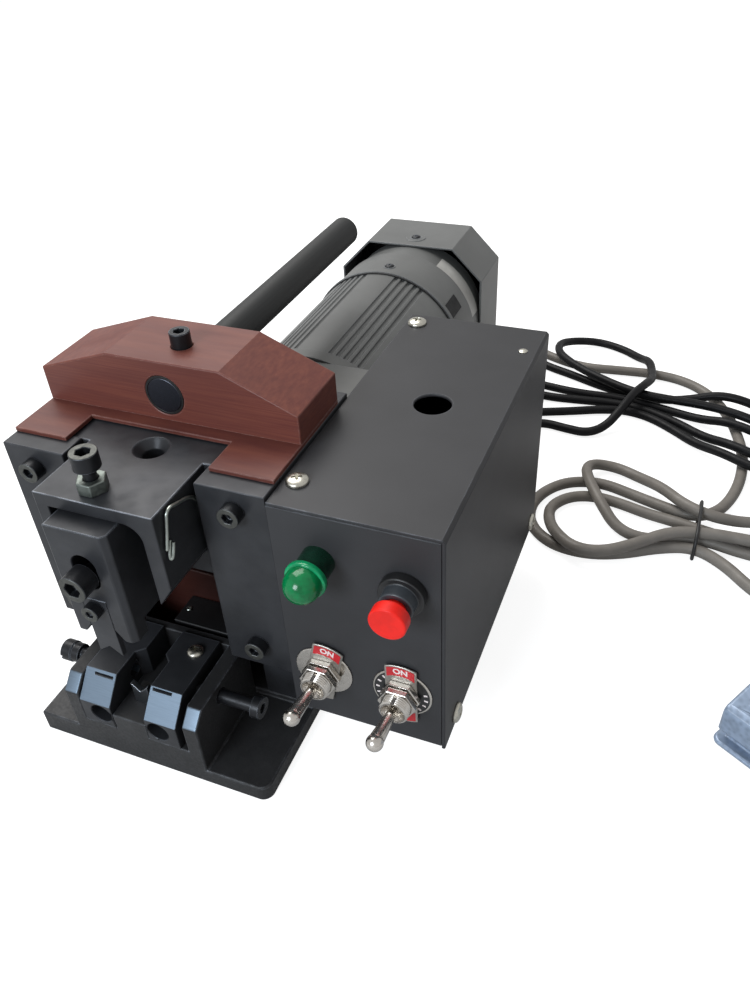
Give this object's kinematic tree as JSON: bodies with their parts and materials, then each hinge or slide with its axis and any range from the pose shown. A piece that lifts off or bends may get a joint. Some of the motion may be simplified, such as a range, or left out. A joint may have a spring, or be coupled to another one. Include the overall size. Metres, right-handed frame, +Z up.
{
  "type": "wire stripping machine",
  "caption": "Bench wire stripping machine with a crank-driven blade head over two jaws, geared motor, control box, mains cord and a foot pedal on a cord.",
  "frame": {"origin": "on the table under the middle of the machine's outline, cords and pedal left out", "axes": "+Z up, +Y towards the back (motor), +X to the operator's right (control box)"},
  "size_m": [0.4075, 0.4335, 0.1677],
  "materials": {
    "cast_iron": "painted dark grey cast iron with bright worn edges",
    "ground_steel": "ground tool steel",
    "blackened_steel": "blackened steel with bright edges",
    "zinc_plate": "zinc or chrome plated steel",
    "bakelite": "red-brown laminated bakelite",
    "brass": "turned bushing with a bright rim",
    "motor_paint": "matte grey painted motor casing",
    "motor_iron": "laminated iron core",
    "bearing_steel": "bearing steel",
    "black_plastic": "black moulded plastic",
    "box_paint": "dark grey powder coat on folded sheet",
    "green_lens": "clear green lens",
    "red_plastic": "red moulded cap",
    "printed_aluminium": "printed switch tags",
    "black_rubber": "black cord jacket",
    "grey_rubber": "grey cord jacket",
    "pedal_paint": "blue-grey hammered paint on a casting"
  },
  "bodies": {
    "frame": {"base_casting": "cast_iron", "left_jaw": "ground_steel", "left_jaw_clamp_screw": "blackened_steel", "lower_blade": "ground_steel", "head_housing": "blackened_steel", "left_gib_plate": "blackened_steel", "right_gib_plate": "blackened_steel", "frame_screws": "blackened_steel", "micro_switch": "black_plastic", "insulator_plate": "bakelite", "feeler_wire": "zinc_plate", "bridge_plate": "bakelite", "bridge_block": "bakelite", "rod_bush": "brass", "rod_set_screw": "blackened_steel", "gearbox_case": "motor_paint", "motor_tube": "motor_paint", "end_bell": "motor_paint", "fan_hood": "motor_paint", "stator_core": "motor_iron", "motor_bearings": "bearing_steel", "box_chassis": "box_paint", "box_cover": "box_paint", "cover_screws": "zinc_plate", "lamp_lens": "green_lens", "lamp_body": "black_plastic", "button_body": "black_plastic", "button_spring": "zinc_plate", "toggle_bodies": "black_plastic", "toggle_nuts": "zinc_plate", "toggle_tags": "printed_aluminium", "cord_glands": "black_plastic", "mains_cord": "black_rubber", "mains_plug": "black_plastic", "pedal_cord": "grey_rubber", "cord_tie": "zinc_plate", "pedal_case": "pedal_paint", "pedal_switch": "black_plastic"},
    "slider": {"slider": "blackened_steel", "holder_clamp_screw": "blackened_steel", "adjuster_lock_nut": "zinc_plate", "presser_sleeve": "blackened_steel", "presser_spring": "zinc_plate"},
    "holder": {"blade_holder": "blackened_steel", "upper_blade": "ground_steel", "blade_screw": "zinc_plate"},
    "adjuster": {"adjusting_screw": "blackened_steel"},
    "presser": {"presser_pin": "blackened_steel"},
    "right_jaw": {"right_jaw": "ground_steel", "jaw_plate_screw": "zinc_plate"},
    "jaw_screw": {"right_jaw_screw": "blackened_steel"},
    "rod": {"guide_rod": "ground_steel"},
    "crank": {"crankshaft": "ground_steel", "output_gear": "ground_steel"},
    "rotor": {"rotor": "ground_steel", "cooling_fan": "black_plastic"},
    "button": {"stop_button": "red_plastic"},
    "left_lever": {"left_toggle_lever": "zinc_plate"},
    "right_lever": {"right_toggle_lever": "zinc_plate"},
    "treadle": {"pedal_treadle": "pedal_paint"}
  },
  "joints": [
    {"name": "rotor_turn", "type": "hinge", "parent": "frame", "child": "rotor", "pos_m": [-0.02645, 0.0566, 0.06499], "axis": [0, -1, 0], "range_deg": [0, 540]},
    {"name": "crank_turn", "type": "hinge", "parent": "frame", "child": "crank", "pos_m": [-0.03345, -0.0934, 0.0816], "axis": [0, 1, 0], "range_deg": [0, 180]},
    {"name": "slider_slide", "type": "slide", "parent": "frame", "child": "slider", "axis": [0, 0, -1], "range_m": [0, 0.022]},
    {"name": "adjuster_turn", "type": "hinge", "parent": "holder", "child": "adjuster", "pos_m": [-0.03745, -0.1545, 0.135], "axis": [0, 0, 1], "range_deg": [-1080, 360]},
    {"name": "holder_slide", "type": "slide", "parent": "slider", "child": "holder", "axis": [0, 0, 1], "range_m": [-0.003, 0.001]},
    {"name": "presser_slide", "type": "slide", "parent": "slider", "child": "presser", "axis": [0, 0, 1], "range_m": [0, 0.003], "stiffness_N_per_m": 400, "springref_m": -0.002, "deforming": ["presser_spring"]},
    {"name": "jaw_screw_turn", "type": "hinge", "parent": "frame", "child": "jaw_screw", "pos_m": [0.00555, -0.1534, 0.0335], "axis": [-1, 0, 0], "range_deg": [0, 900]},
    {"name": "right_jaw_slide", "type": "slide", "parent": "frame", "child": "right_jaw", "axis": [1, 0, 0], "range_m": [0, 0.0025]},
    {"name": "rod_slide", "type": "slide", "parent": "frame", "child": "rod", "axis": [0, 1, 0], "range_m": [-0.02, 0.03]},
    {"name": "button_push", "type": "slide", "parent": "frame", "child": "button", "axis": [0, 1, 0], "range_m": [0, 0.0025], "stiffness_N_per_m": 300, "springref_m": -0.002, "deforming": ["button_spring"]},
    {"name": "left_toggle_flip", "type": "hinge", "parent": "frame", "child": "left_lever", "pos_m": [0.03755, -0.1489, 0.0532], "axis": [1, 0, 0], "range_deg": [0, 26]},
    {"name": "right_toggle_flip", "type": "hinge", "parent": "frame", "child": "right_lever", "pos_m": [0.07015, -0.1489, 0.0532], "axis": [1, 0, 0], "range_deg": [0, 26]},
    {"name": "treadle_press", "type": "hinge", "parent": "frame", "child": "treadle", "pos_m": [0.26516, -0.02757, 0.02], "axis": [0.8572, -0.515, 0], "range_deg": [0, 3.4], "stiffness_Nm_per_rad": 3, "springref_deg": -5.16}
  ],
  "couplings": [
    {"joint": "crank_turn", "follows": "rotor_turn", "ratio": 0.33333},
    {"joint": "slider_slide", "follows": "rotor_turn", "m_per_rad": 0.002334},
    {"joint": "adjuster_turn", "follows": "holder_slide", "rad_per_m": 6283.2},
    {"joint": "jaw_screw_turn", "follows": "right_jaw_slide", "rad_per_m": 6283.2}
  ]
}
